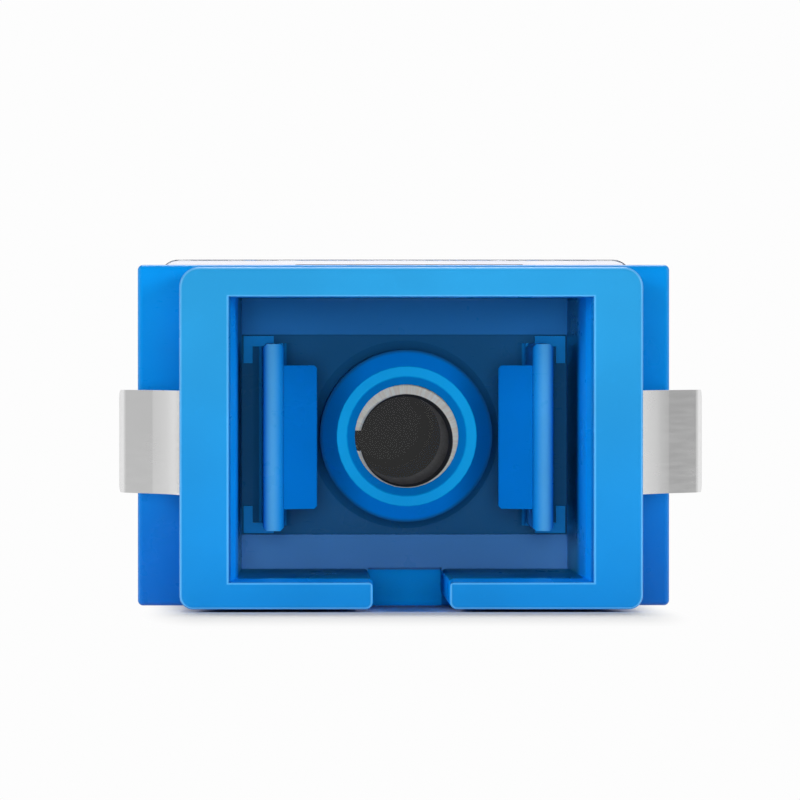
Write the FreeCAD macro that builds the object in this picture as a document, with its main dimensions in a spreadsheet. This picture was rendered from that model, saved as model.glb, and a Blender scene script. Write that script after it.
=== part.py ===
import FreeCAD, Part
import math
import os
import re

import Sketcher

# A simplex fibre adapter of the square push-pull kind, with its far port capped.
# The row frame: +Y is the optical axis, pointing from the open port to the capped one, X is the width
# and +Z is up. The origin is on the axis of the ports, in the plane where the two halves are welded.
# The key slots are in the bottom wall. All lengths are in millimetres and all angles in degrees.

DIMENSIONS = {
    # moulded shell, the same for both halves
    "body_width": 12.77,
    "body_above": 4.755,
    "body_below": 4.675,
    "half_length": 13.75,
    "top_corner": 0.55,
    "bottom_corner": 0.38,
    "front_edge": 0.12,
    "flange_width": 15.34,
    "flange_height": 9.83,
    "flange_lift": -0.035,
    "flange_half": 1.1,
    "flange_edge": 0.15,
    "weld_groove": 0.08,
    # port cavity
    "port_width": 10.07,
    "port_height": 7.88,
    "entry_depth": 1.2,
    "entry_side": 0.19,
    "entry_top": 0.03,
    "entry_bottom": 0.1,
    "mouth_round": 0.05,
    "wall_draft": 0.175,
    "ledge_front": 2.75,
    "ledge_back": 2.35,
    "window_height": 5.74,
    "key_width": 2.12,
    "key_overlap": 0.03,
    "key_corner": 0.2,
    # seat of the panel clip in the front half
    "seat_depth": 0.3,
    "seat_near": 2.9,
    "seat_far": 9.6,
    "seat_low": 3.4,
    "seat_corner": 0.5,
    # latch holder, two alike back to back
    "plate_width": 10.2,
    "plate_height": 7.3,
    "plate_thick": 1.95,
    "plate_play": 0.02,
    "pad_outer_x": 4.62,
    "pad_outer_z": 2.83,
    "pad_long_x": 0.87,
    "pad_short_x": 0.26,
    "pad_short_z": 0.3,
    "pad_long_z": 0.78,
    "pad_rise": 0.3,
    "barrel_radius": 2.45,
    "barrel_front": 6.3,
    "barrel_nose": 1.97,
    "barrel_taper": 1.0,
    "barrel_root": 0.25,
    "lead_in_radius": 1.71,
    "lead_in_depth": 0.28,
    "lip_radius": 1.47,
    "sleeve_room": 1.75,
    "sleeve_room_end": 5.75,
    "arm_inner": 3.485,
    "arm_outer": 4.07,
    "arm_height": 5.24,
    "arm_tip": 9.1,
    "arm_nose": 0.28,
    "arm_root": 0.3,
    "arm_corner": 0.1,
    "tooth_inner": 2.55,
    "tooth_height": 4.03,
    "tooth_start": 8.74,
    "tooth_peak": 7.95,
    "tooth_land": 0.3,
    "tooth_back": 7.5,
    "tooth_round": 0.12,
    "tooth_corner": 0.08,
    # split alignment sleeve, lying on the floor of the holders' bores
    "sleeve_outer": 1.6,
    "sleeve_inner": 1.25,
    "sleeve_length": 11.4,
    "sleeve_chamfer": 0.08,
    "sleeve_edge": 0.03,
    "slit_width": 0.58,
    "sleeve_side": 0.05,
    "sleeve_drop": 0.13,
    # panel clip, folded from spring sheet
    "sheet": 0.25,
    "clip_gap": 0.03,
    "clip_near": 3.0,
    "clip_far": 9.5,
    "clip_low": 3.2,
    "clip_bend": 0.3,
    "leg_corner": 0.4,
    "tongue_low": 1.645,
    "tongue_high": 1.295,
    "tongue_cut": 0.15,
    "tongue_relief": 2.1,
    "tongue_root": 6.4,
    "tongue_knee": 3.45,
    "tongue_end": 2.75,
    "tongue_curve": 6.5,
    "knee_bend": 0.3,
    "tip_rise": 0.15,
    "tongue_corner": 0.25,
    "left_flare": 1.82,
    "right_flare": 2.165,
    # dust cap in the far port
    "rim_width": 14.4,
    "rim_height": 10.16,
    "rim_thick": 0.9,
    "rim_corner": 0.6,
    "rim_edge": 0.2,
    "skirt_width": 9.32,
    "skirt_height": 7.54,
    "skirt_length": 7.0,
    "skirt_side_wall": 0.45,
    "skirt_top_wall": 0.47,
    "skirt_corner": 0.3,
    "grip_width": 7.4,
    "grip_height": 5.0,
    "grip_length": 3.0,
    "grip_wall": 0.7,
    "grip_corner": 0.8,
    "grip_edge": 0.3,
    "cap_lift": 0.035,
}

TOLERANCE = 1e-3


# ---- the sheet, sketches and features --------------------------------------------------------------

def fill_sheet(doc):
    """The driving dimensions, one row each: a name, a plain number and the alias that features use."""
    sheet = doc.addObject("Spreadsheet::Sheet", "Dimensions")
    for row, (name, value) in enumerate(DIMENSIONS.items(), start=1):
        sheet.set(f"A{row}", name)
        sheet.set(f"B{row}", str(value))
        sheet.setAlias(f"B{row}", name)
    doc.recompute()


def from_sheet(text):
    """An expression in the sheet's names, such as 'body_width / 2', as FreeCAD reads it."""
    def cell(match):
        word = match.group()
        return f"Dimensions.{word}" if word in DIMENSIONS else word
    return re.sub(r"[a-z_]+", cell, text)


def bind(thing, **expressions):
    for name, text in expressions.items():
        thing.setExpression(name, from_sheet(text))


def new_body(doc, name):
    body = doc.addObject("PartDesign::Body", name)
    body.Label = name
    return body


def origin_plane(body, role):
    return next(item for item in body.Origin.OriginFeatures if item.Role == role)


def new_sketch(body, role, name, offset=None):
    """A sketch on one of the body's origin planes, moved along that plane's normal by offset.
    On XZ_Plane the sketch's axes are X and Z and its normal is -Y, towards the open port."""
    sketch = body.newObject("Sketcher::SketchObject", f"{body.Name}_{name}")
    sketch.AttachmentSupport = [(origin_plane(body, role), "")]
    sketch.MapMode = "FlatFace"
    if offset:
        sketch.setExpression("AttachmentOffset.Base.z", from_sheet(offset))
    return sketch


def add_polygon(sketch, corners):
    """A closed outline of straight lines. Each corner is a pair of expressions."""
    count = len(corners)
    first = sketch.GeometryCount
    angles = [2 * math.pi * k / count for k in range(count)]
    start = [FreeCAD.Vector(math.cos(a), math.sin(a), 0) for a in angles]
    for k in range(count):
        sketch.addGeometry(Part.LineSegment(start[k], start[(k + 1) % count]))
    for k in range(count):
        following = first + (k + 1) % count
        sketch.addConstraint(Sketcher.Constraint("Coincident", first + k, 2, following, 1))
    for k, corner in enumerate(corners):
        places = zip(("DistanceX", "DistanceY"), corner, (start[k].x, start[k].y))
        for kind, text, guess in places:
            constraint = Sketcher.Constraint(kind, -1, 1, first + k, 1, guess)
            index = sketch.addConstraint(constraint)
            sketch.setExpression(f"Constraints[{index}]", from_sheet(text))


def add_rectangle(sketch, left, right, low, high):
    add_polygon(sketch, [(left, low), (right, low), (right, high), (left, high)])


def add_centred_rectangle(sketch, half_width, half_height):
    add_rectangle(sketch, f"-({half_width})", half_width, f"-({half_height})", half_height)


def add_circle(sketch, radius):
    index = sketch.addGeometry(Part.Circle(FreeCAD.Vector(), FreeCAD.Vector(0, 0, 1), 1))
    sketch.addConstraint(Sketcher.Constraint("Coincident", index, 3, -1, 1))
    constraint = sketch.addConstraint(Sketcher.Constraint("Radius", index, 1))
    sketch.setExpression(f"Constraints[{constraint}]", from_sheet(radius))


def pad(body, sketch, length, reverse=False, both_ways=False):
    feature = body.newObject("PartDesign::Pad", f"{sketch.Name}_pad")
    feature.Profile = sketch
    feature.Reversed = reverse
    feature.SideType = "Symmetric" if both_ways else "One side"
    bind(feature, Length=length)
    body.Document.recompute()
    return feature


def pocket(body, sketch, length, reverse=False, both_ways=False):
    """Cuts against the sketch's normal, or along it where reverse is set, and must remove something."""
    before = body.Shape.Volume
    feature = body.newObject("PartDesign::Pocket", f"{sketch.Name}_pocket")
    feature.Profile = sketch
    feature.Reversed = reverse
    feature.SideType = "Symmetric" if both_ways else "One side"
    bind(feature, Length=length)
    body.Document.recompute()
    if not body.Shape.Volume < before - TOLERANCE:
        raise RuntimeError(f"{feature.Name} removes nothing")
    return feature


def revolve(body, sketch):
    feature = body.newObject("PartDesign::Revolution", f"{sketch.Name}_revolution")
    feature.Profile = sketch
    feature.ReferenceAxis = (sketch, ["V_Axis"])
    feature.Angle = 360
    body.Document.recompute()
    return feature


def round_edges(body, name, radius, chosen, kind="Fillet"):
    """Rounds, or chamfers, the edges for which chosen(middle, size) is true, at least one."""
    base = body.Tip
    names = []
    for index, edge in enumerate(base.Shape.Edges, start=1):
        box = edge.BoundBox
        size = FreeCAD.Vector(box.XLength, box.YLength, box.ZLength)
        if chosen(box.Center, size):
            names.append(f"Edge{index}")
    if not names:
        raise RuntimeError(f"{body.Name}: no edges for {name}")
    feature = body.newObject(f"PartDesign::{kind}", f"{body.Name}_{name}")
    feature.Base = (base, names)
    bind(feature, **{"Radius" if kind == "Fillet" else "Size": radius})
    body.Document.recompute()
    return feature


def near(value, *targets):
    return any(abs(value - target) < TOLERANCE for target in targets)


def along_x(size):
    return size.x > TOLERANCE and near(size.y, 0) and near(size.z, 0)


def along_y(size):
    return size.y > TOLERANCE and near(size.x, 0) and near(size.z, 0)


def along_z(size):
    return size.z > TOLERANCE and near(size.x, 0) and near(size.y, 0)


# ---- housing ---------------------------------------------------------------------------------------

def add_shell_block(body):
    """The outside of one half: a rounded block and its half of the flange."""
    d = DIMENSIONS
    block = new_sketch(body, "XZ_Plane", "block")
    add_rectangle(block, "-body_width / 2", "body_width / 2", "-body_below", "body_above")
    pad(body, block, "half_length")
    round_edges(body, "top_corners", "top_corner",
                lambda at, size: along_y(size) and near(at.z, d["body_above"]))
    round_edges(body, "bottom_corners", "bottom_corner",
                lambda at, size: along_y(size) and near(at.z, -d["body_below"]))
    flange = new_sketch(body, "XZ_Plane", "flange")
    add_rectangle(flange, "-flange_width / 2", "flange_width / 2",
                  "flange_lift - flange_height / 2", "flange_lift + flange_height / 2")
    pad(body, flange, "flange_half")
    round_edges(body, "flange_corners", "flange_edge",
                lambda at, size: along_y(size) and near(abs(at.x), d["flange_width"] / 2))


def cut_port(body):
    """The cavity tapers at its mouth, narrows with the mould's draft and ends in two sloped ledges.
    Behind them a window opens into the room for the latch holder's plate."""
    outer_x = "port_width / 2"
    entry_x = "port_width / 2 - entry_side"
    inner_x = "port_width / 2 - entry_side - wall_draft"
    low = "-port_height / 2 + entry_bottom"
    high = "port_height / 2 - entry_top"
    sections = [
        ("mouth", "half_length", outer_x, "-port_height / 2", "port_height / 2"),
        ("entry", "half_length - entry_depth", entry_x, low, high),
        ("ledge_root", "ledge_front", inner_x, low, high),
        ("ledge_edge", "ledge_back", inner_x, "-window_height / 2", "window_height / 2"),
    ]
    sketches = []
    for name, depth, half_width, bottom, top in sections:
        sketch = new_sketch(body, "XZ_Plane", name, depth)
        add_rectangle(sketch, f"-({half_width})", half_width, bottom, top)
        sketches.append(sketch)
    before = body.Shape.Volume
    cavity = body.newObject("PartDesign::SubtractiveLoft", f"{body.Name}_cavity")
    cavity.Profile = sketches[0]
    cavity.Sections = sketches[1:]
    cavity.Ruled = True
    body.Document.recompute()
    if not body.Shape.Volume < before - TOLERANCE:
        raise RuntimeError(f"{cavity.Name} removes nothing")
    window = new_sketch(body, "XZ_Plane", "window", "ledge_back")
    add_centred_rectangle(window, inner_x, "window_height / 2")
    pocket(body, window, "ledge_back")
    room = new_sketch(body, "XZ_Plane", "plate_room", "plate_thick")
    add_centred_rectangle(room, "plate_width / 2 + plate_play", "plate_height / 2 + plate_play")
    pocket(body, room, "plate_thick")


def cut_key_slot(body):
    """The polarising slot, through the bottom wall from the mouth to the flange."""
    d = DIMENSIONS
    slot = new_sketch(body, "XZ_Plane", "key_slot", "half_length")
    add_rectangle(slot, "-key_width / 2", "key_width / 2",
                  "-body_below - 1", "-port_height / 2 + entry_bottom + key_overlap")
    pocket(body, slot, "half_length - flange_half")
    round_edges(body, "key_corners", "key_corner",
                lambda at, size: along_y(size) and near(at.z, -d["body_below"])
                and near(abs(at.x), d["key_width"] / 2))


def round_mouth(body):
    """Rounds the outer rim and, more finely, the edge of the opening."""
    d = DIMENSIONS
    rim_x = d["body_width"] / 2
    opening_x = d["port_width"] / 2
    opening_z = d["port_height"] / 2
    round_edges(body, "opening", "mouth_round",
                lambda at, size: near(at.y, -d["half_length"]) and near(size.y, 0)
                and (near(abs(at.x), opening_x) or near(abs(at.z), opening_z)))
    round_edges(body, "front_rim", "front_edge",
                lambda at, size: near(at.y, -d["half_length"]) and near(size.y, 0)
                and (near(at.z, d["body_above"], -d["body_below"]) or near(abs(at.x), rim_x)))


def cut_clip_seat(body):
    """A shallow bed over the top and down both sides, in which the panel clip lies flush."""
    d = DIMENSIONS
    core_x = "body_width / 2 - seat_depth"
    core_z = "body_above - seat_depth"
    outside_x = "body_width / 2 + 1"
    outside_z = "body_above + 1"
    seat = new_sketch(body, "XZ_Plane", "clip_seat", "seat_far")
    add_polygon(seat, [
        (f"-({outside_x})", "-seat_low"),
        (f"-({core_x})", "-seat_low"),
        (f"-({core_x})", core_z),
        (core_x, core_z),
        (core_x, "-seat_low"),
        (outside_x, "-seat_low"),
        (outside_x, outside_z),
        (f"-({outside_x})", outside_z),
    ])
    pocket(body, seat, "seat_far - seat_near")
    round_edges(body, "seat_corners", "seat_corner",
                lambda at, size: along_y(size) and near(at.z, d["body_above"] - d["seat_depth"])
                and near(abs(at.x), d["body_width"] / 2 - d["seat_depth"]))


def finish_housing(body):
    """Rounds the flange's face and opens a fine groove at the weld."""
    d = DIMENSIONS
    round_edges(body, "flange_face", "flange_edge",
                lambda at, size: near(at.y, -d["flange_half"]) and along_z(size)
                and near(abs(at.x), d["flange_width"] / 2))
    round_edges(body, "weld", "weld_groove",
                lambda at, size: near(at.y, 0) and near(size.y, 0)
                and (size.x > d["body_width"] or size.z > d["body_above"]
                     and near(abs(at.x), d["flange_width"] / 2)), kind="Chamfer")


def build_housing(doc, name, with_seat):
    """One moulded half, its port towards -Y."""
    body = new_body(doc, name)
    add_shell_block(body)
    cut_port(body)
    cut_key_slot(body)
    round_mouth(body)
    if with_seat:
        cut_clip_seat(body)
    finish_housing(body)
    return body


# ---- latch holder ----------------------------------------------------------------------------------

def add_plate(body):
    """The base plate, with room for half of the sleeve."""
    plate = new_sketch(body, "XZ_Plane", "plate")
    add_centred_rectangle(plate, "plate_width / 2", "plate_height / 2")
    add_circle(plate, "sleeve_room")
    pad(body, plate, "plate_thick")


def add_latches(body):
    """Two sprung arms with a round nose, each with an inward tooth: a ramp in front, a catch behind."""
    d = DIMENSIONS
    arm = new_sketch(body, "XY_Plane", "arm")
    add_rectangle(arm, "arm_inner", "arm_outer", "-arm_tip", "-plate_thick / 2")
    arm_pad = pad(body, arm, "arm_height", both_ways=True)
    tooth = new_sketch(body, "XY_Plane", "tooth")
    middle = "(arm_inner + arm_outer) / 2"
    add_polygon(tooth, [
        (middle, "-tooth_start"),
        ("arm_inner", "-tooth_start"),
        ("tooth_inner", "-tooth_peak"),
        ("tooth_inner", "-tooth_peak + tooth_land"),
        ("arm_inner", "-tooth_back"),
        (middle, "-tooth_back"),
    ])
    tooth_pad = pad(body, tooth, "tooth_height", both_ways=True)
    mirror = body.newObject("PartDesign::Mirrored", f"{body.Name}_other_latch")
    mirror.Originals = [arm_pad, tooth_pad]
    mirror.MirrorPlane = (origin_plane(body, "YZ_Plane"), [""])
    body.Tip = mirror
    doc = body.Document
    doc.recompute()
    round_edges(body, "arm_noses", "arm_nose",
                lambda at, size: along_z(size) and near(at.y, -d["arm_tip"]))
    round_edges(body, "arm_roots", "arm_root",
                lambda at, size: along_z(size) and near(at.y, -d["plate_thick"])
                and near(abs(at.x), d["arm_inner"], d["arm_outer"]))
    round_edges(body, "tooth_edges", "tooth_round",
                lambda at, size: along_z(size) and near(abs(at.x), d["tooth_inner"]))


def bevel_latches(body):
    """Takes the sharp corners off the arms and teeth, all along from the tips to the arms' roots."""
    corners = [
        ("arm_outer", "arm_height / 2", "arm_corner", "-"),
        ("arm_inner", "arm_height / 2", "arm_corner", ""),
        ("tooth_inner", "tooth_height / 2", "tooth_corner", ""),
    ]
    bevels = new_sketch(body, "XZ_Plane", "latch_bevels", "arm_tip")
    for side in ("", "-"):
        for level in ("", "-"):
            for x, z, cut, inward in corners:
                outline = [
                    (f"{x} + {inward}({cut})", z),
                    (x, f"{z} - {cut}"),
                    (f"{x} - {inward}({cut})", f"{z} + {cut}"),
                ]
                add_polygon(bevels, [(f"{side}({a})", f"{level}({b})") for a, b in outline])
    pocket(body, bevels, "arm_tip - plate_thick - arm_root")


def add_barrel(body):
    """The half barrel: a wall with a wide foot and a tapered nose, a cone that leads the ferrule in
    and a lip that keeps the sleeve. Its section is drawn with the radius along X."""
    section = new_sketch(body, "XY_Plane", "barrel")
    add_polygon(section, [
        ("sleeve_room", "-plate_thick / 2"),
        ("barrel_radius + barrel_root", "-plate_thick / 2"),
        ("barrel_radius + barrel_root", "-plate_thick"),
        ("barrel_radius", "-plate_thick - barrel_root"),
        ("barrel_radius", "-barrel_front + barrel_taper"),
        ("barrel_nose", "-barrel_front"),
        ("lead_in_radius", "-barrel_front"),
        ("lip_radius", "-barrel_front + lead_in_depth"),
        ("lip_radius", "-sleeve_room_end"),
        ("sleeve_room", "-sleeve_room_end"),
    ])
    revolve(body, section)


def add_pads(body):
    """An L-shaped pad in each corner of the window."""
    pads = new_sketch(body, "XZ_Plane", "corner_pads")
    for side in ("", "-"):
        for level in ("", "-"):
            outline = [
                ("pad_outer_x", "pad_outer_z"),
                ("pad_outer_x - pad_long_x", "pad_outer_z"),
                ("pad_outer_x - pad_long_x", "pad_outer_z - pad_short_z"),
                ("pad_outer_x - pad_short_x", "pad_outer_z - pad_short_z"),
                ("pad_outer_x - pad_short_x", "pad_outer_z - pad_long_z"),
                ("pad_outer_x", "pad_outer_z - pad_long_z"),
            ]
            add_polygon(pads, [(f"{side}({x})", f"{level}({z})") for x, z in outline])
    pad(body, pads, "plate_thick + pad_rise")


def build_holder(doc, name):
    """One latch holder, a single moulding, its barrel and latches towards -Y."""
    body = new_body(doc, name)
    add_plate(body)
    add_latches(body)
    bevel_latches(body)
    add_barrel(body)
    add_pads(body)
    return body


# ---- alignment sleeve ------------------------------------------------------------------------------

def build_sleeve(doc, name):
    """A turned tube slit along one side, its ends chamfered inside. The slit faces -X."""
    body = new_body(doc, name)
    end = "sleeve_length / 2"
    section = new_sketch(body, "XY_Plane", "wall")
    add_polygon(section, [
        ("sleeve_inner + sleeve_chamfer", f"-{end}"),
        ("sleeve_outer - sleeve_edge", f"-{end}"),
        ("sleeve_outer", f"-{end} + sleeve_edge"),
        ("sleeve_outer", f"{end} - sleeve_edge"),
        ("sleeve_outer - sleeve_edge", end),
        ("sleeve_inner + sleeve_chamfer", end),
        ("sleeve_inner", f"{end} - sleeve_chamfer"),
        ("sleeve_inner", f"-{end} + sleeve_chamfer"),
    ])
    revolve(body, section)
    slit = new_sketch(body, "XZ_Plane", "slit")
    add_rectangle(slit, "-sleeve_outer - 1", "-sleeve_inner / 2", "-slit_width / 2", "slit_width / 2")
    pocket(body, slit, "sleeve_length + 2", both_ways=True)
    return body


# ---- panel clip ------------------------------------------------------------------------------------

def add_clip_bow(body):
    """The strip that goes over the top of the housing and down both sides."""
    d = DIMENSIONS
    inner_x = "body_width / 2 - seat_depth + clip_gap"
    inner_z = "body_above - seat_depth + clip_gap"
    outer_x = f"{inner_x} + sheet"
    outer_z = f"{inner_z} + sheet"
    bow = new_sketch(body, "XZ_Plane", "bow", "clip_near")
    add_polygon(bow, [
        (f"-({outer_x})", "-clip_low"),
        (f"-({inner_x})", "-clip_low"),
        (f"-({inner_x})", inner_z),
        (inner_x, inner_z),
        (inner_x, "-clip_low"),
        (outer_x, "-clip_low"),
        (outer_x, outer_z),
        (f"-({outer_x})", outer_z),
    ])
    pad(body, bow, "clip_far - clip_near")
    inner_top = d["body_above"] - d["seat_depth"] + d["clip_gap"]
    round_edges(body, "bends_inside", "clip_bend",
                lambda at, size: along_y(size) and near(at.z, inner_top))
    round_edges(body, "bends_outside", "clip_bend + sheet",
                lambda at, size: along_y(size) and near(at.z, inner_top + d["sheet"]))
    round_edges(body, "leg_ends", "leg_corner",
                lambda at, size: along_x(size) and near(at.z, -d["clip_low"]))


def cut_tongue_gaps(body):
    """Frees the tongues: each leg is cut open from just before the tongue's root to its far edge."""
    gaps = new_sketch(body, "YZ_Plane", "gaps")
    add_rectangle(gaps, "-tongue_root - tongue_relief", "-clip_near + 1",
                  "-tongue_low - tongue_cut", "tongue_high + tongue_cut")
    pocket(body, gaps, "body_width * 2", both_ways=True)


def add_tongue(body, name, flare, side):
    """A tongue curves out of the leg at its root, slants out to a knee and ends in a flatter tip.
    Its plan is drawn for +X; side is '-' for the other one."""
    face = "body_width / 2 - seat_depth + clip_gap + sheet"
    lean = f"atan(({flare} - tip_rise) / (tongue_root - tongue_knee))"
    tip = "atan(tip_rise / (tongue_knee - tongue_end))"
    mitre = f"sheet / cos(({lean} - {tip}) / 2)"
    start = "-tongue_root - tongue_relief - sheet"
    outline = [
        (face, start),
        (face, "-tongue_root"),
        (f"{face} + {flare} - tip_rise", "-tongue_knee"),
        (f"{face} + {flare}", "-tongue_end"),
        (f"{face} + {flare} - sheet * cos({tip})", f"-tongue_end + sheet * sin({tip})"),
        (f"{face} + {flare} - tip_rise - {mitre} * cos(({lean} + {tip}) / 2)",
         f"-tongue_knee + {mitre} * sin(({lean} + {tip}) / 2)"),
        (f"{face} - sheet", f"-tongue_root + sheet * tan({lean} / 2)"),
        (f"{face} - sheet", start),
    ]
    plan = new_sketch(body, "XY_Plane", name, "-tongue_low")
    add_polygon(plan, [(f"{side}({x})", y) for x, y in outline])
    pad(body, plan, "tongue_low + tongue_high")
    root_out, knee_out, end_out, end_in, knee_in, root_in = [
        line.StartPoint for line in plan.Geometry[1:7]]
    bends = [
        ("root_outside", "tongue_curve", root_out),
        ("root_inside", "tongue_curve + sheet", root_in),
        ("knee_outside", "knee_bend + sheet", knee_out),
        ("knee_inside", "knee_bend", knee_in),
    ]
    for bend, radius, corner in bends:
        round_edges(body, f"{name}_{bend}", radius,
                    lambda at, size: along_z(size) and near(at.x, corner.x) and near(at.y, corner.y))
    end = (end_out + end_in) / 2
    round_edges(body, f"{name}_corners", "tongue_corner",
                lambda at, size: near(size.z, 0) and near(at.x, end.x) and near(at.y, end.y))


def build_clip(doc, name):
    """The panel clip: one folded sheet with a flared tongue on each side."""
    body = new_body(doc, name)
    add_clip_bow(body)
    cut_tongue_gaps(body)
    add_tongue(body, "left_tongue", "left_flare", "-")
    add_tongue(body, "right_tongue", "right_flare", "")
    return body


# ---- dust cap --------------------------------------------------------------------------------------

def build_cap(doc, name):
    """A thin clear moulding: a skirt that fills the port's mouth, a rim outside it and a hollow grip."""
    d = DIMENSIONS
    body = new_body(doc, name)
    rim = new_sketch(body, "XZ_Plane", "rim", "-half_length")
    add_centred_rectangle(rim, "rim_width / 2", "rim_height / 2")
    pad(body, rim, "rim_thick", reverse=True)
    round_edges(body, "rim_corners", "rim_corner", lambda at, size: along_y(size))
    rim_back = d["half_length"] + d["rim_thick"]
    round_edges(body, "rim_edges", "rim_edge", lambda at, size: near(at.y, rim_back))
    grip = new_sketch(body, "XZ_Plane", "grip", "-half_length - rim_thick")
    add_centred_rectangle(grip, "grip_width / 2", "grip_height / 2")
    pad(body, grip, "grip_length", reverse=True)
    grip_back = rim_back + d["grip_length"]
    round_edges(body, "grip_corners", "grip_corner",
                lambda at, size: along_y(size) and at.y > rim_back and size.y > 1)
    round_edges(body, "grip_edges", "grip_edge",
                lambda at, size: near(at.y, grip_back), kind="Chamfer")
    skirt = new_sketch(body, "XZ_Plane", "skirt", "-half_length")
    add_centred_rectangle(skirt, "skirt_width / 2", "skirt_height / 2")
    pad(body, skirt, "skirt_length")
    skirt_front = d["half_length"] - d["skirt_length"]
    round_edges(body, "skirt_corners", "skirt_corner",
                lambda at, size: along_y(size) and near(size.y, d["skirt_length"])
                and at.y < d["half_length"])
    core = new_sketch(body, "XZ_Plane", "core", "skirt_length - half_length")
    add_centred_rectangle(core, "skirt_width / 2 - skirt_side_wall", "skirt_height / 2 - skirt_top_wall")
    pocket(body, core, "skirt_length")
    grip_core = new_sketch(body, "XZ_Plane", "grip_core", "-half_length")
    add_centred_rectangle(grip_core, "grip_width / 2 - grip_wall", "grip_height / 2 - grip_wall")
    pocket(body, grip_core, "rim_thick + grip_length - grip_wall")
    round_edges(body, "skirt_lead", "front_edge",
                lambda at, size: near(at.y, skirt_front) and near(size.y, 0)
                and (near(abs(at.x), d["skirt_width"] / 2) or near(abs(at.z), d["skirt_height"] / 2)))
    return body


# ---- the whole adapter -----------------------------------------------------------------------------

def place(body, x="0", z="0", turn=0):
    """Moves a body across the axis, and turns it about the vertical to face the far port."""
    body.Placement = FreeCAD.Placement(FreeCAD.Vector(), FreeCAD.Rotation(FreeCAD.Vector(0, 0, 1), turn))
    bind(body, **{"Placement.Base.x": x, "Placement.Base.z": z})


def build_adapter(doc):
    far_side = 180
    parts = [
        build_housing(doc, "front_housing", with_seat=True),
        build_housing(doc, "rear_housing", with_seat=False),
        build_holder(doc, "front_latch_holder"),
        build_holder(doc, "rear_latch_holder"),
        build_sleeve(doc, "alignment_sleeve"),
        build_clip(doc, "panel_clip"),
        build_cap(doc, "rear_dust_cap"),
    ]
    turned = {"rear_housing": {"turn": far_side}, "rear_latch_holder": {"turn": far_side}}
    moved = {"alignment_sleeve": {"x": "-sleeve_side", "z": "-sleeve_drop"},
             "rear_dust_cap": {"z": "cap_lift"}}
    for body in parts:
        place(body, **turned.get(body.Label, {}), **moved.get(body.Label, {}))
    doc.recompute()
    return parts


def check_document(doc, parts):
    for item in doc.Objects:
        if "Invalid" in item.State or "Error" in item.State:
            raise RuntimeError(f"{item.Name} is in state {item.State}")
    for body in parts:
        if body.Shape.isNull() or not body.Shape.isValid():
            raise RuntimeError(f"{body.Label} has no valid shape")
        if len(body.Shape.Solids) != 1:
            raise RuntimeError(f"{body.Label} is not one solid")


def export_parts(parts):
    os.makedirs("parts", exist_ok=True)
    for body in parts:
        body.Shape.exportStep(f"parts/{body.Label}.step")
        box = body.Shape.BoundBox
        print(f"{body.Label}: {body.Shape.Volume:.2f} mm3, X {box.XMin:.2f} to {box.XMax:.2f},"
              f" Y {box.YMin:.2f} to {box.YMax:.2f}, Z {box.ZMin:.2f} to {box.ZMax:.2f}")


def main():
    doc = FreeCAD.newDocument("fibre_adapter")
    fill_sheet(doc)
    parts = build_adapter(doc)
    check_document(doc, parts)
    export_parts(parts)


main()
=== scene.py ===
import math

import bpy
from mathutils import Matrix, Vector


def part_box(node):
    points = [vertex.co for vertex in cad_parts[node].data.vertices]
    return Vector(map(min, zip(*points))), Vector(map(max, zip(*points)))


# The looks of a simplex fibre adapter, in metres and in the CAD's own frame: -Y faces the camera,
# +Z is up, and the origin is on the ports' axis in the plane of the weld. Every piece keeps its CAD
# mesh. A material tells the parts of a piece apart, such as an end face or a latch's nose, by where
# they are, so the places below are distances from the axes, and both halves match them.

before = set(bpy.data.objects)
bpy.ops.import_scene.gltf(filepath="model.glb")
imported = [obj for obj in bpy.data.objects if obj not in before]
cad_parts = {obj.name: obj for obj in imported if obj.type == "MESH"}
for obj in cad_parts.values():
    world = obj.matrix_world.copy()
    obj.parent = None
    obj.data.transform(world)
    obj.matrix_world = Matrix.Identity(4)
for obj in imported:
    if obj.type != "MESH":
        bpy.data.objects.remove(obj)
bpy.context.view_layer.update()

MM = 0.001
SHELL_LOW, SHELL_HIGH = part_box("front_housing")
SLEEVE_LOW, SLEEVE_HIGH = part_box("alignment_sleeve")


# ---- places --------------------------------------------------------------------------------------

SOFT = 0.05 * MM        # how gradually one tone gives way to the next, where nothing else is said

# The shell: its end face, the edge round it and the rim of the mouth, which carry a painted
# highlight, the mouth, the narrower port behind it, its key slot and its floor, and the flange with
# its corners, whose front edges carry the painted highlight too.
SHELL_LENGTH = -SHELL_LOW.y
FACE_Y = SHELL_LENGTH - 0.03 * MM
EDGE_Y = SHELL_LENGTH - 0.11 * MM
MOUTH_X = 4.95 * MM
MOUTH_Z = 3.92 * MM
MOUTH_Y = SHELL_LENGTH - 1.15 * MM
RIM_X = MOUTH_X + 0.12 * MM
RIM_Z = MOUTH_Z + 0.05 * MM
PORT_X = 4.75 * MM
PORT_Z = 3.88 * MM
WALL_Z = PORT_Z - 0.06 * MM
SLOT_X = 1.07 * MM
LEDGE_Y = 2.8 * MM
FLANGE_X = 7.67 * MM
FLANGE_Y = 1.1 * MM
CORNER_X = FLANGE_X - 0.06 * MM
CORNER_Y = FLANGE_Y - 0.08 * MM

# The latch holder: its plate and pads, the barrel with its ring, cone, flank and foot, and the arms
# from their backs to their noses, which carry a painted highlight, brightest along the crest.
PLATE_Y = 2.0 * MM
PAD_X = 2.9 * MM
BARREL_Y = 6.3 * MM
RING_Y = BARREL_Y - 0.05 * MM
BARREL_RADIUS = 2.32 * MM
CONE_RADIUS = 1.72 * MM
FLANK_RADIUS = 1.95 * MM
FOOT_RADIUS = 2.75 * MM
FLANK_TOP_X = 0.9 * MM
FLANK_SIDE_X = 2.4 * MM
ARM_BACK_Y = 7.0 * MM
ARM_NOSE_Y = 8.85 * MM
CREST_X = 3.85 * MM
CREST_HALF = 0.03 * MM

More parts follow.
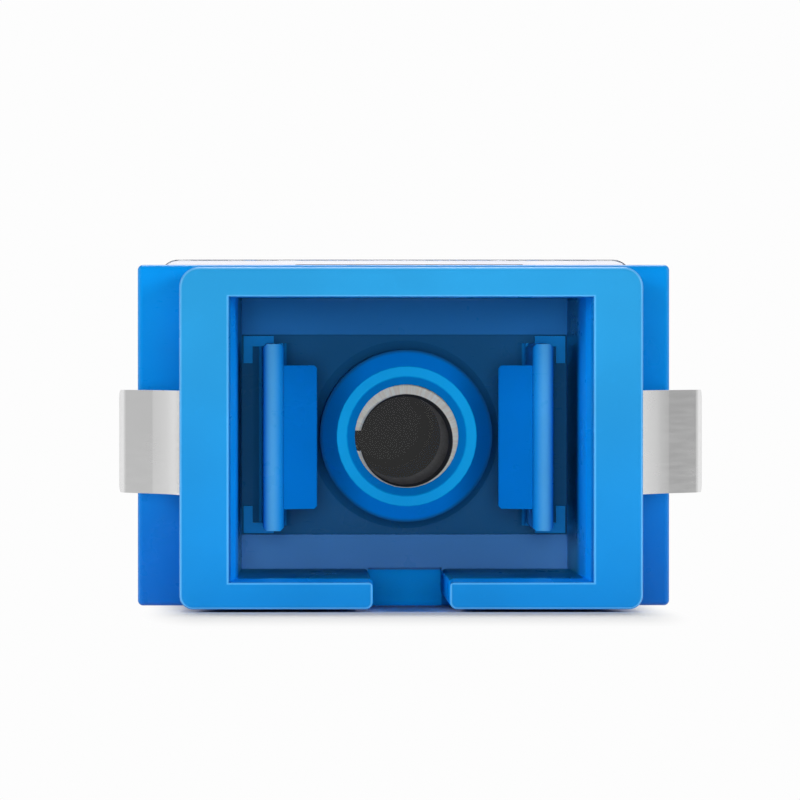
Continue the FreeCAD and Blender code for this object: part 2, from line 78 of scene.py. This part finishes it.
# The sleeve. Its slit takes the middle of its box this far off its axis.
SLEEVE_BORE = 1.31 * MM
SLIT_SHIFT = 0.037 * MM

# How far a surface leans towards the open end for the light, beside its own normal of length 1.
# The port's walls lean by WALL_LEAN as far as WALL_DEEP_Y, and by MOUTH_LEAN from WALL_NEAR_Y on.
FLANK_LEAN = 0.7
FLANK_SIDE_LEAN = 0.25
WALL_LEAN = 0.55
MOUTH_LEAN = 0.2
WALL_DEEP_Y = SHELL_LENGTH - 9.0 * MM
WALL_NEAR_Y = SHELL_LENGTH - 6.0 * MM

# What the lamps and the camera are aimed at: the middle of the port's mouth.
AIM = Vector((0, SHELL_LOW.y, 0))

# The floor, and the shell's front bottom edge above it. The floor takes the whole shadow as far as
# SHADOW_X and SHELL_LENGTH, and fades beyond, this many times faster sideways than lengthwise.
FLOOR_HALF = 40 * MM
FOOT_Z = -4.675 * MM
FOOT_GAP = 0.08 * MM
SHADOW_X = 5.7 * MM
SHADOW_FADE = 24 * MM
SHADOW_SIDEWAYS = 14


# ---- colours and noises --------------------------------------------------------------------------

WHITE = (1.0, 1.0, 1.0, 1.0)
BLACK = (0.0, 0.0, 0.0, 1.0)
BACKGROUND = (0.982, 0.982, 0.982, 1.0)
# The glow of the card that paints the shade seen down the sleeve's bore.
CARD_SHADE_GLOW = (0.028, 0.028, 0.027, 1.0)

# The shell's blue, painted lighter at the top and darker towards the bottom, as the light falls.
BLUE_LIT_TOP = (0.0005, 0.26, 0.72, 1.0)
BLUE_SHADED_LOW = (0.0005, 0.16, 0.59, 1.0)
# Inside the port: painted light on the mouth and side walls, painted shade on the top and bottom
# walls.
MOUTH_PAINTED_LIGHT = (0.002, 0.27, 0.84, 1.0)
SIDE_PAINTED_LIGHT = (0.0005, 0.3, 0.95, 1.0)
LEVEL_PAINTED_SHADE = (0.004, 0.17, 0.35, 1.0)
# Painted light in the key slot.
SLOT_PAINTED_LIGHT = (0.0005, 0.37, 1.0, 1.0)
# The end face, painted paler for a painted sheen, and lighter at the top than at the bottom.
FACE_SHEEN_TOP = (0.021, 0.295, 0.62, 1.0)
FACE_SHEEN_LOW = (0.004, 0.222, 0.6, 1.0)
# A painted highlight on the shell's edges and on the rim of its mouth.
EDGE_HIGHLIGHT = (0.1, 0.44, 0.84, 1.0)
# The ledges at the port's far end: painted shade on the top one, painted light and sheen on the
# bottom one.
LEDGE_SHADED_TOP = (0.018, 0.195, 0.56, 1.0)
LEDGE_LIT_LOW = (0.09, 0.30, 0.70, 1.0)

HOLDER_BLUE = (0.0005, 0.18, 0.59, 1.0)
# A painted highlight on the latches' noses, brightest along the crest.
NOSE_HIGHLIGHT = (0.083, 0.39, 0.70, 1.0)
NOSE_LIT_SIDE = (0.010, 0.27, 0.69, 1.0)
# Painted light on the pads.
PAD_PAINTED_LIGHT = (0.01, 0.29, 0.8, 1.0)
# The barrel: painted light on its flank at the top and bottom and on its cone, painted shade at its
# sides.
BARREL_LIT = (0.0005, 0.29, 0.95, 1.0)
BARREL_SHADED_SIDE = (0.0005, 0.16, 0.5, 1.0)
CONE_LIT = (0.0005, 0.29, 0.76, 1.0)
# A painted highlight on the barrel's end ring.
RING_HIGHLIGHT = (0.003, 0.46, 0.94, 1.0)
# Painted shade on the base plate, deep in the port.
PLATE_SHADE = (0.011, 0.112, 0.29, 1.0)

SLEEVE_DARK = (0.92, 0.82, 0.64, 1.0)
SLEEVE_PALE = (1.0, 1.0, 0.85, 1.0)
# The bore, painted near black for the shade down it.
BORE_SHADE = (0.03, 0.03, 0.03, 1.0)
STEEL_DARK = (0.82, 0.82, 0.82, 1.0)
STEEL_PALE = (0.84, 0.84, 0.84, 1.0)
CAP_DARK = (0.90, 0.91, 0.98, 1.0)
CAP_PALE = (0.96, 0.97, 1.0, 1.0)

# Each noise is a scale (in features per metre, about), a detail and a roughness.
PLASTIC_CLOUD = (260.0, 2.0, 0.5)
PLASTIC_FLOW = (900.0, 3.0, 0.5)
PLASTIC_SCUFF = (4200.0, 4.0, 0.7)
PLASTIC_SPECK = (5200.0, 2.0, 0.5)
PLASTIC_GRAIN = (16000.0, 3.0, 0.6)
STEEL_CLOUD = (500.0, 2.0, 0.5)
STEEL_GRAIN = (2500.0, 3.0, 0.5)
CAP_CLOUD = (400.0, 2.0, 0.5)
CAP_RIPPLE = (900.0, 3.0, 0.5)
SLEEVE_STREAK = (1.6, 5.0, 0.65)

# Streaks run along the axes in which a noise is stretched least.
FLOW_STRETCH = (1.0, 0.25, 1.0)
SCUFF_STRETCH = (0.35, 1.0, 2.5)
STEEL_STRETCH = (0.3, 0.3, 3.0)

# The sleeve's streaks have coordinates of their own: angle, depth and radius, times these.
STREAK_ANGLE = 14.0
STREAK_DEPTH = 260.0
STREAK_RADIUS = 900.0

# The range that most of a noise's values lie in.
NOISE_LOW = 0.3
NOISE_HIGH = 0.7

# RIM_SHARE is how much of the edge's painted highlight goes on the rim of the mouth.
RIM_SHARE = 0.7         # of the edge's tone, in the rim of the mouth
FROST_ROUGHNESS = 0.14  # what a frosted surface adds
METAL_SHARE = 0.2       # of the sleeve's bore, and as much again at its ends
CAP_PASSES = 0.85       # of the lamps' light, through the cap to what lies behind it

# The sockets of a Mix node that mixes colours.
MIX_FACTOR, MIX_FIRST, MIX_SECOND, MIX_RESULT = 0, 6, 7, 2


# ---- node helpers --------------------------------------------------------------------------------

def node(tree, kind, inputs=None, **settings):
    """A new node. An input is a value, or a socket that gets linked to it."""
    made = tree.nodes.new(kind)
    for key, value in settings.items():
        setattr(made, key, value)
    for key, value in (inputs or {}).items():
        if isinstance(value, bpy.types.NodeSocket):
            tree.links.new(value, made.inputs[key])
        else:
            made.inputs[key].default_value = value
    return made


def calc(tree, operation, first, second=0.0, third=0.0, clamp=False):
    inputs = {0: first, 1: second, 2: third}
    return node(tree, "ShaderNodeMath", inputs, operation=operation, use_clamp=clamp).outputs[0]


def times(tree, first, *factors):
    for factor in factors:
        first = calc(tree, "MULTIPLY", first, factor)
    return first


def vector_calc(tree, operation, first, second=(0.0, 0.0, 0.0)):
    made = node(tree, "ShaderNodeVectorMath", {0: first, 1: second}, operation=operation)
    return made.outputs["Value" if operation == "LENGTH" else "Vector"]


def vector(tree, **axes):
    """A vector from its X, Y and Z. What isn't given is 0."""
    return node(tree, "ShaderNodeCombineXYZ", axes).outputs[0]


def radius_of(tree, x, z):
    """The distance from the axis."""
    return vector_calc(tree, "LENGTH", vector(tree, X=x, Z=z))


def ramp(tree, value, start, end, low=0.0, high=1.0):
    """value taken from start..end to low..high, smoothly and without going past either."""
    inputs = {"Value": value, "From Min": start, "From Max": end, "To Min": low, "To Max": high}
    made = node(tree, "ShaderNodeMapRange", inputs, interpolation_type="SMOOTHSTEP")
    return made.outputs["Result"]


def spread(tree, value, low=0.0, high=1.0):
    """A noise's usual range taken to low..high."""
    return ramp(tree, value, NOISE_LOW, NOISE_HIGH, low, high)


def inside(tree, value, limit, soft=SOFT):
    """1 where abs(value) is under limit, falling to 0 over soft."""
    return ramp(tree, calc(tree, "ABSOLUTE", value), limit, limit + soft, 1.0, 0.0)


def outside(tree, value, limit, soft=SOFT):
    """0 where abs(value) is under limit, rising to 1 over soft."""
    return ramp(tree, calc(tree, "ABSOLUTE", value), limit, limit + soft)


def blend_colours(tree, factor, first, second, mode="MIX"):
    inputs = {MIX_FACTOR: factor, MIX_FIRST: first, MIX_SECOND: second}
    made = node(tree, "ShaderNodeMix", inputs, data_type="RGBA", blend_type=mode)
    return made.outputs[MIX_RESULT]


def grey(tree, value):
    return node(tree, "ShaderNodeCombineColor", {0: value, 1: value, 2: value}).outputs[0]


def noise(tree, at, scale, detail, roughness):
    inputs = {"Vector": at, "Scale": scale, "Detail": detail, "Roughness": roughness}
    return node(tree, "ShaderNodeTexNoise", inputs).outputs["Fac"]


def stretch(tree, at, scales):
    """The coordinates stretched along the axes, for streaks."""
    inputs = {"Vector": at, "Scale": scales}
    return node(tree, "ShaderNodeMapping", inputs).outputs["Vector"]


def bump(tree, height, strength, distance, normal=None):
    inputs = {"Height": height, "Strength": strength, "Distance": distance}
    if normal is not None:
        inputs["Normal"] = normal
    return node(tree, "ShaderNodeBump", inputs).outputs["Normal"]


def mix_shaders(tree, factor, first, second):
    inputs = {0: factor, 1: first.outputs[0], 2: second.outputs[0]}
    return node(tree, "ShaderNodeMixShader", inputs)


def object_coordinates(tree):
    return node(tree, "ShaderNodeTexCoord").outputs["Object"]


def axes_of(tree, at):
    split = node(tree, "ShaderNodeSeparateXYZ", {"Vector": at})
    return split.outputs["X"], split.outputs["Y"], split.outputs["Z"]


def new_material(name, **uniform):
    """A material, its node tree and its shader, with the values that are the same all over it.
    An underscore stands for the space in an input's name."""
    material = bpy.data.materials.new(name)
    material.use_nodes = True
    tree = material.node_tree
    shader = tree.nodes["Principled BSDF"]
    for key, value in uniform.items():
        shader.inputs[key.replace("_", " ")].default_value = value
    return material, tree, shader


def feed(tree, shader, **sockets):
    """Links sockets to the shader's inputs, which are named as in new_material."""
    for key, socket in sockets.items():
        tree.links.new(socket, shader.inputs[key.replace("_", " ")])


def dress(node_name, material):
    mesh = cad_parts[node_name].data
    mesh.materials.clear()
    mesh.materials.append(material)


# ---- materials -----------------------------------------------------------------------------------

def moulded_plastic(name, colour_at, lean_at):
    """Glossy injection-moulded plastic: faint flow marks, a fine grain and a few scuffs.
    colour_at(tree, x, y, z) gives the colour, and how frosted the mould left the surface, 0 to 1.
    lean_at(tree, x, y, z) gives how far a surface leans to the open end for the light: it stands
    for the light that soaks through the thin walls."""
    material, tree, shader = new_material(name, IOR=1.47, Specular_IOR_Level=0.3)
    at = object_coordinates(tree)
    x, y, z = axes_of(tree, at)
    colour, frosted = colour_at(tree, x, y, z)
    cloud = noise(tree, at, *PLASTIC_CLOUD)
    flow = noise(tree, stretch(tree, at, FLOW_STRETCH), *PLASTIC_FLOW)
    scuff = noise(tree, stretch(tree, at, SCUFF_STRETCH), *PLASTIC_SCUFF)
    specks = noise(tree, at, *PLASTIC_SPECK)
    grain = noise(tree, at, *PLASTIC_GRAIN)

    tone = spread(tree, cloud, 0.95, 1.05)
    tone = calc(tree, "ADD", tone, ramp(tree, specks, 0.62, 0.8, low=0.0, high=0.03))
    tint = blend_colours(tree, 1.0, colour, grey(tree, tone), "MULTIPLY")
    rough = spread(tree, flow, 0.27, 0.33)
    rough = calc(tree, "MULTIPLY_ADD", frosted, FROST_ROUGHNESS, rough)
    polish = ramp(tree, scuff, 0.62, 0.75, low=0.0, high=0.06)
    rough = calc(tree, "SUBTRACT", rough, polish)

    lean = times(tree, lean_at(tree, x, y, z), calc(tree, "SIGN", y))
    normal = node(tree, "ShaderNodeNewGeometry").outputs["Normal"]
    leaned = vector_calc(tree, "ADD", normal, vector(tree, Y=lean))
    leaned = vector_calc(tree, "NORMALIZE", leaned)
    relief = bump(tree, grain, strength=0.25, distance=0.005 * MM, normal=leaned)
    relief = bump(tree, scuff, strength=0.12, distance=0.008 * MM, normal=relief)
    feed(tree, shader, Base_Color=tint, Roughness=rough, Normal=relief)
    return material


def in_rectangle(tree, x, z, half_x, half_z, soft=SOFT):
    """1 within half_x and half_z of the axis, falling to 0 over soft."""
    return times(tree, inside(tree, x, half_x, soft), inside(tree, z, half_z, soft))


def in_key_slot(tree, x, z):
    return times(tree, inside(tree, x, SLOT_X, soft=0.04 * MM), ramp(tree, z, -PORT_Z, -MOUTH_Z))


def shell_colour(tree, x, y, z):
    """Blue, with painted light, shade, sheen and highlights by zone, as the comments below say."""
    # Painted light and shade: the blue is lighter at the top and darker towards the bottom.
    rise = ramp(tree, z, SHELL_LOW.z, SHELL_HIGH.z)
    colour = blend_colours(tree, rise, BLUE_SHADED_LOW, BLUE_LIT_TOP)

    # Painted light on the port's mouth and side walls, painted shade on its top and bottom walls.
    walls = blend_colours(tree, outside(tree, x, PORT_X), LEVEL_PAINTED_SHADE, SIDE_PAINTED_LIGHT)
    mouth = outside(tree, y, MOUTH_Y, soft=0.2 * MM)
    walls = blend_colours(tree, mouth, walls, MOUTH_PAINTED_LIGHT)
    colour = blend_colours(tree, in_rectangle(tree, x, z, MOUTH_X, MOUTH_Z), colour, walls)
    # Painted light in the key slot.
    colour = blend_colours(tree, in_key_slot(tree, x, z), colour, SLOT_PAINTED_LIGHT)
    # The ledges at the port's far end: painted shade on the top one, painted light and a painted
    # sheen on the bottom one.
    floor = times(tree, in_rectangle(tree, x, z, PORT_X, PORT_Z),
                  inside(tree, y, LEDGE_Y, soft=0.3 * MM))
    ledge = blend_colours(tree, rise, LEDGE_LIT_LOW, LEDGE_SHADED_TOP)
    colour = blend_colours(tree, floor, colour, ledge)

    # A painted highlight on the flange's front edges and on the edge of the end face.
    corner = times(tree, outside(tree, x, CORNER_X), outside(tree, y, CORNER_Y))
    edge = calc(tree, "MAXIMUM", corner, outside(tree, y, EDGE_Y, soft=0.08 * MM))
    colour = blend_colours(tree, edge, colour, EDGE_HIGHLIGHT)

    # A painted highlight round the rim of the mouth.
    rim = times(tree, in_rectangle(tree, x, z, RIM_X, RIM_Z, soft=0.03 * MM), RIM_SHARE)
    # The end face: a painted sheen, lighter at the top and darker towards the bottom.
    face = blend_colours(tree, rise, FACE_SHEEN_LOW, FACE_SHEEN_TOP)
    face = blend_colours(tree, rim, face, EDGE_HIGHLIGHT)
    end = outside(tree, y, FACE_Y, soft=0.02 * MM)
    return blend_colours(tree, end, colour, face), end


def shell_lean(tree, x, y, z):
    """The port's inner walls and its key slot lean, less near the mouth."""
    within = in_rectangle(tree, x, z, MOUTH_X, MOUTH_Z, soft=0.02 * MM)
    wall = calc(tree, "MAXIMUM", outside(tree, x, PORT_X), outside(tree, z, WALL_Z))
    zone = calc(tree, "MULTIPLY_ADD", within, wall, in_key_slot(tree, x, z), clamp=True)
    depth = calc(tree, "ABSOLUTE", y)
    return times(tree, zone, ramp(tree, depth, WALL_DEEP_Y, WALL_NEAR_Y, WALL_LEAN, MOUTH_LEAN))


def holder_colour(tree, x, y, z):
    """Blue: painted shade on the plate, painted light on pads and barrel, painted highlights on
    noses.
    """
    radius = radius_of(tree, x, z)
    behind_arms = inside(tree, y, ARM_BACK_Y, soft=0.1 * MM)

    # A painted highlight on the latches' noses, brightest along the crest and fading to the sides.
    from_crest = calc(tree, "SUBTRACT", calc(tree, "ABSOLUTE", x), CREST_X)
    crest = inside(tree, from_crest, CREST_HALF, soft=0.24 * MM)
    nose = blend_colours(tree, crest, NOSE_LIT_SIDE, NOSE_HIGHLIGHT)
    colour = blend_colours(tree, outside(tree, y, ARM_NOSE_Y, soft=0.25 * MM), HOLDER_BLUE, nose)
    # Painted light on the pads, painted shade on the plate between them.
    low = blend_colours(tree, outside(tree, x, PAD_X), PLATE_SHADE, PAD_PAINTED_LIGHT)
    colour = blend_colours(tree, behind_arms, colour, low)

    # Painted light on the barrel's flank at the top and bottom and on its cone, painted shade at
    # its sides.
    barrel = times(tree, inside(tree, radius, BARREL_RADIUS, soft=0.14 * MM), behind_arms)
    side = outside(tree, x, FLANK_TOP_X, soft=FLANK_SIDE_X - FLANK_TOP_X)
    flank = blend_colours(tree, side, BARREL_LIT, BARREL_SHADED_SIDE)
    cone = inside(tree, radius, CONE_RADIUS, soft=0.08 * MM)
    colour = blend_colours(tree, barrel, colour, blend_colours(tree, cone, flank, CONE_LIT))
    # A painted highlight on the barrel's end ring.
    ring = times(tree, barrel, outside(tree, y, RING_Y, soft=0.03 * MM))
    colour = blend_colours(tree, ring, colour, RING_HIGHLIGHT)
    # Painted shade on the base plate.
    plate = inside(tree, y, PLATE_Y, soft=0.06 * MM)
    return blend_colours(tree, plate, colour, PLATE_SHADE), ring


def holder_lean(tree, x, y, z):
    """The barrel's flank and foot lean, most at the top and the bottom."""
    radius = radius_of(tree, x, z)
    flank = times(tree, outside(tree, radius, FLANK_RADIUS, soft=0.03 * MM),
                  inside(tree, radius, FOOT_RADIUS), inside(tree, y, BARREL_Y, soft=0.1 * MM))
    across = calc(tree, "ABSOLUTE", x)
    lean = ramp(tree, across, FLANK_TOP_X, FLANK_SIDE_X, FLANK_LEAN, FLANK_SIDE_LEAN)
    return times(tree, flank, lean)


def turned_metal(name):
    """The sleeve: drawn along its length, with radial streaks on its ends and painted shade in its
    bore.
    """
    material, tree, shader = new_material(name, Specular_IOR_Level=0.0)
    x, y, z = axes_of(tree, object_coordinates(tree))
    middle = (SLEEVE_LOW + SLEEVE_HIGH) / 2
    side = calc(tree, "SUBTRACT", x, middle.x + SLIT_SHIFT)
    rise = calc(tree, "SUBTRACT", z, middle.z)
    radius = radius_of(tree, side, rise)
    place = vector(tree, X=times(tree, calc(tree, "ARCTAN2", rise, side), STREAK_ANGLE),
                   Y=times(tree, y, STREAK_DEPTH), Z=times(tree, radius, STREAK_RADIUS))
    streak = noise(tree, place, *SLEEVE_STREAK)

    # The bore is painted near black, for the shade down it.
    wall = ramp(tree, radius, SLEEVE_BORE, SLEEVE_BORE + 0.02 * MM)
    colour = blend_colours(tree, spread(tree, streak), SLEEVE_DARK, SLEEVE_PALE)
    feed(tree, shader,
         Base_Color=blend_colours(tree, wall, BORE_SHADE, colour),
         Metallic=calc(tree, "MULTIPLY_ADD", wall, METAL_SHARE, METAL_SHARE),
         Roughness=ramp(tree, streak, 0.25, 0.75, low=0.36, high=0.46),
         Normal=bump(tree, streak, strength=0.35, distance=0.008 * MM))
    return material


def rolled_steel(name):
    """The clip: bright spring sheet with a very fine lengthwise grain."""
    material, tree, shader = new_material(name, Metallic=1.0)
    at = object_coordinates(tree)
    grain = noise(tree, stretch(tree, at, STEEL_STRETCH), *STEEL_GRAIN)
    cloud = noise(tree, at, *STEEL_CLOUD)
    rough = calc(tree, "ADD", spread(tree, grain, 0.2, 0.25),
                 ramp(tree, cloud, 0.35, 0.7, low=0.0, high=0.04))
    feed(tree, shader,
         Base_Color=blend_colours(tree, spread(tree, grain), STEEL_DARK, STEEL_PALE),
         Roughness=rough,
         Normal=bump(tree, grain, strength=0.06, distance=0.001 * MM))
    return material


def clear_plastic(name):
    """The cap: thin clear moulding, very slightly violet, with the ripple of a moulded wall. Its
    low refractive index keeps its edges pale, and it lets most of the lamps' light through."""
    material, tree, shader = new_material(name, IOR=1.14, Transmission_Weight=1.0)
    at = object_coordinates(tree)
    cloud = noise(tree, at, *CAP_CLOUD)
    ripple = noise(tree, at, *CAP_RIPPLE)
    shadow = node(tree, "ShaderNodeLightPath").outputs["Is Shadow Ray"]
    feed(tree, shader,
         Base_Color=blend_colours(tree, spread(tree, cloud), CAP_DARK, CAP_PALE),
         Roughness=spread(tree, ripple, 0.01, 0.025),
         Normal=bump(tree, ripple, strength=0.15, distance=0.02 * MM),
         Alpha=calc(tree, "MULTIPLY_ADD", shadow, -CAP_PASSES, 1.0))
    return material


shell_blue = moulded_plastic("shell_blue", shell_colour, shell_lean)
holder_blue = moulded_plastic("holder_blue", holder_colour, holder_lean)
for end_name in ("front", "rear"):
    dress(end_name + "_housing", shell_blue)
    dress(end_name + "_latch_holder", holder_blue)
dress("alignment_sleeve", turned_metal("sleeve_metal"))
dress("panel_clip", rolled_steel("clip_steel"))
dress("rear_dust_cap", clear_plastic("cap_clear"))


# ---- studio --------------------------------------------------------------------------------------

def seen_directly(tree):
    """1 for the rays that show the background: the camera's, and what gloss and glass pass on."""
    path = node(tree, "ShaderNodeLightPath")
    shown = calc(tree, "MAXIMUM", path.outputs["Is Camera Ray"], path.outputs["Is Glossy Ray"])
    return calc(tree, "MAXIMUM", shown, path.outputs["Is Transmission Ray"])


def new_object(name, data):
    made = bpy.data.objects.new(name, data)
    bpy.context.scene.collection.objects.link(made)
    return made


def new_sheet(name, left, right, low, high, upright=False):
    """A flat rectangle, in the XY plane or upright in the XZ plane."""
    corners = [(left, low), (right, low), (right, high), (left, high)]
    mesh = bpy.data.meshes.new(name)
    mesh.from_pydata([(u, 0, v) if upright else (u, v, 0) for u, v in corners], [], [(0, 1, 2, 3)])
    return new_object(name, mesh)


def direction(azimuth, elevation):
    """A unit vector out of the open port, turned by azimuth to its right and by elevation up,
    in degrees."""
    turn = math.radians(azimuth)
    lift = math.radians(elevation)
    return Vector((math.sin(turn) * math.cos(lift),
                   -math.cos(turn) * math.cos(lift),
                   math.sin(lift)))


def make_world(light, front, side, behind, straight):
    """White behind the adapter. What the adapter mirrors is dimmer in front and to the sides, as
    in a real studio: front, side, behind and straight are its levels from the camera's side to
    straight behind. light is the level of the soft light that comes from all round. In the nodes,
    ahead runs from -1 at the camera's side to 1 straight behind."""
    world = bpy.data.worlds.new("studio")
    bpy.context.scene.world = world
    world.use_nodes = True
    tree = world.node_tree
    tree.nodes.clear()
    ahead = axes_of(tree, node(tree, "ShaderNodeTexCoord").outputs["Generated"])[1]
    dim = calc(tree, "ADD", ramp(tree, ahead, 0.43, 0.58, low=side, high=behind),
               ramp(tree, ahead, 0.7, 0.95, low=0.0, high=straight - behind))
    dim = times(tree, dim, ramp(tree, ahead, -1.0, -0.2, low=front / side, high=1.0))
    path = node(tree, "ShaderNodeLightPath")
    mirrored = times(tree, path.outputs["Is Glossy Ray"],
                     calc(tree, "SUBTRACT", 1.0, path.outputs["Is Transmission Ray"]))
    level = calc(tree, "MULTIPLY_ADD", mirrored, calc(tree, "SUBTRACT", dim, 1.0), 1.0)
    shown = node(tree, "ShaderNodeBackground", {"Color": BACKGROUND, "Strength": level})
    lit = node(tree, "ShaderNodeBackground", {"Color": WHITE, "Strength": light})
    mixed = mix_shaders(tree, seen_directly(tree), lit, shown)
    node(tree, "ShaderNodeOutputWorld", {"Surface": mixed.outputs[0]})


def make_floor():
    """The adapter stands on its flange, with its front bottom edge just off the floor. The floor
    takes the shadow near the adapter, fades into the background round it, and doesn't show from
    below."""
    front = Vector((0, SHELL_LOW.y, FOOT_Z - FOOT_GAP))
    back = Vector((0, -FLANGE_Y, SHELL_LOW.z))
    floor = new_sheet("floor", -FLOOR_HALF, FLOOR_HALF, -FLOOR_HALF, FLOOR_HALF)
    floor.rotation_euler = (math.atan2(back.z - front.z, back.y - front.y), 0, 0)
    floor.location = back

    material = bpy.data.materials.new("floor_white")
    material.use_nodes = True
    tree = material.node_tree
    tree.nodes.clear()
    away = vector_calc(tree, "ABSOLUTE", object_coordinates(tree))
    away = vector_calc(tree, "SUBTRACT", away, (SHADOW_X, SHELL_LENGTH, 0))
    away = vector_calc(tree, "MAXIMUM", away)
    away = vector_calc(tree, "MULTIPLY", away, (SHADOW_SIDEWAYS, 1, 1))
    fade = ramp(tree, vector_calc(tree, "LENGTH", away), 0, SHADOW_FADE)
    diffuse = node(tree, "ShaderNodeBsdfDiffuse", {"Color": BACKGROUND})
    glow = node(tree, "ShaderNodeEmission", {"Color": BACKGROUND, "Strength": 1.0})
    faded = mix_shaders(tree, times(tree, fade, seen_directly(tree)), diffuse, glow)
    below = node(tree, "ShaderNodeNewGeometry").outputs["Backfacing"]
    sided = mix_shaders(tree, below, faded, node(tree, "ShaderNodeBsdfTransparent"))
    node(tree, "ShaderNodeOutputMaterial", {"Surface": sided.outputs[0]})
    floor.data.materials.append(material)


def make_lamp(name, azimuth, elevation, distance, size, radiance, in_gloss=True, in_glass=True):
    """A soft round lamp at that distance from AIM, which shines with that radiance, where 1 is
    white. in_gloss and in_glass say whether gloss mirrors it and glass shows it."""
    data = bpy.data.lights.new(name, "AREA")
    data.shape = "DISK"
    data.size = size
    data.energy = radiance * math.pi * math.pi * (size / 2) ** 2
    lamp = new_object(name, data)
    towards = direction(azimuth, elevation)
    lamp.location = AIM + towards * distance
    lamp.rotation_euler = towards.to_track_quat("Z", "Y").to_euler()
    lamp.visible_camera = False
    lamp.visible_glossy = in_gloss
    lamp.visible_transmission = in_glass


def make_camera():
    """In front of the open port, a degree to its left and three quarters of a degree above."""
    distance = 0.262
    view_width = 22.02 * MM
    back = direction(azimuth=-1.0, elevation=0.75)
    lens = bpy.data.cameras.new("camera")
    lens.sensor_width = 36.0
    lens.lens = lens.sensor_width * distance / view_width
    lens.shift_x = -0.0142
    lens.shift_y = 0.0497
    lens.clip_start = 0.01
    lens.clip_end = 10.0
    camera = new_object("camera", lens)
    camera.location = AIM + back * distance
    camera.rotation_euler = (-back).to_track_quat("-Z", "Y").to_euler()
    bpy.context.scene.camera = camera


def make_bore_card():
    """A dim grey card far behind the adapter, hidden from the camera, that glows a little: seen
    through the sleeve's bore and the clear cap, it paints the shade down the bore."""
    distance = 600 * MM
    card = new_sheet("bore_card", left=0, right=21 * MM, low=-18 * MM, high=2 * MM, upright=True)
    card.location.y = distance
    material = new_material("bore_shade_card", Base_Color=BLACK, Roughness=1.0, Specular_IOR_Level=0.0,
                            Emission_Color=CARD_SHADE_GLOW, Emission_Strength=1.0)[0]
    card.data.materials.append(material)
    card.visible_camera = False
    card.visible_shadow = False


make_world(light=0.08, front=0.02, side=0.40, behind=0.75, straight=0.95)
make_floor()
for lamp_name, lamp_azimuth in (("left_light", -45.0), ("right_light", 45.0)):
    make_lamp(lamp_name, lamp_azimuth, elevation=15.0, distance=0.34, size=0.10, radiance=15.0,
              in_gloss=False)
make_lamp("axis_light", -1.0, elevation=1.0, distance=0.34, size=0.06, radiance=62.0,
          in_gloss=False, in_glass=False)
for lamp_name, lamp_azimuth in (("left_rim_light", -78.0), ("right_rim_light", 78.0)):
    make_lamp(lamp_name, lamp_azimuth, elevation=15.0, distance=0.30, size=0.08, radiance=10.0)
make_lamp("top_light", 180.0, elevation=58.0, distance=0.20, size=0.10, radiance=8.0)
make_camera()
make_bore_card()

scene = bpy.context.scene
scene.view_settings.view_transform = "Standard"
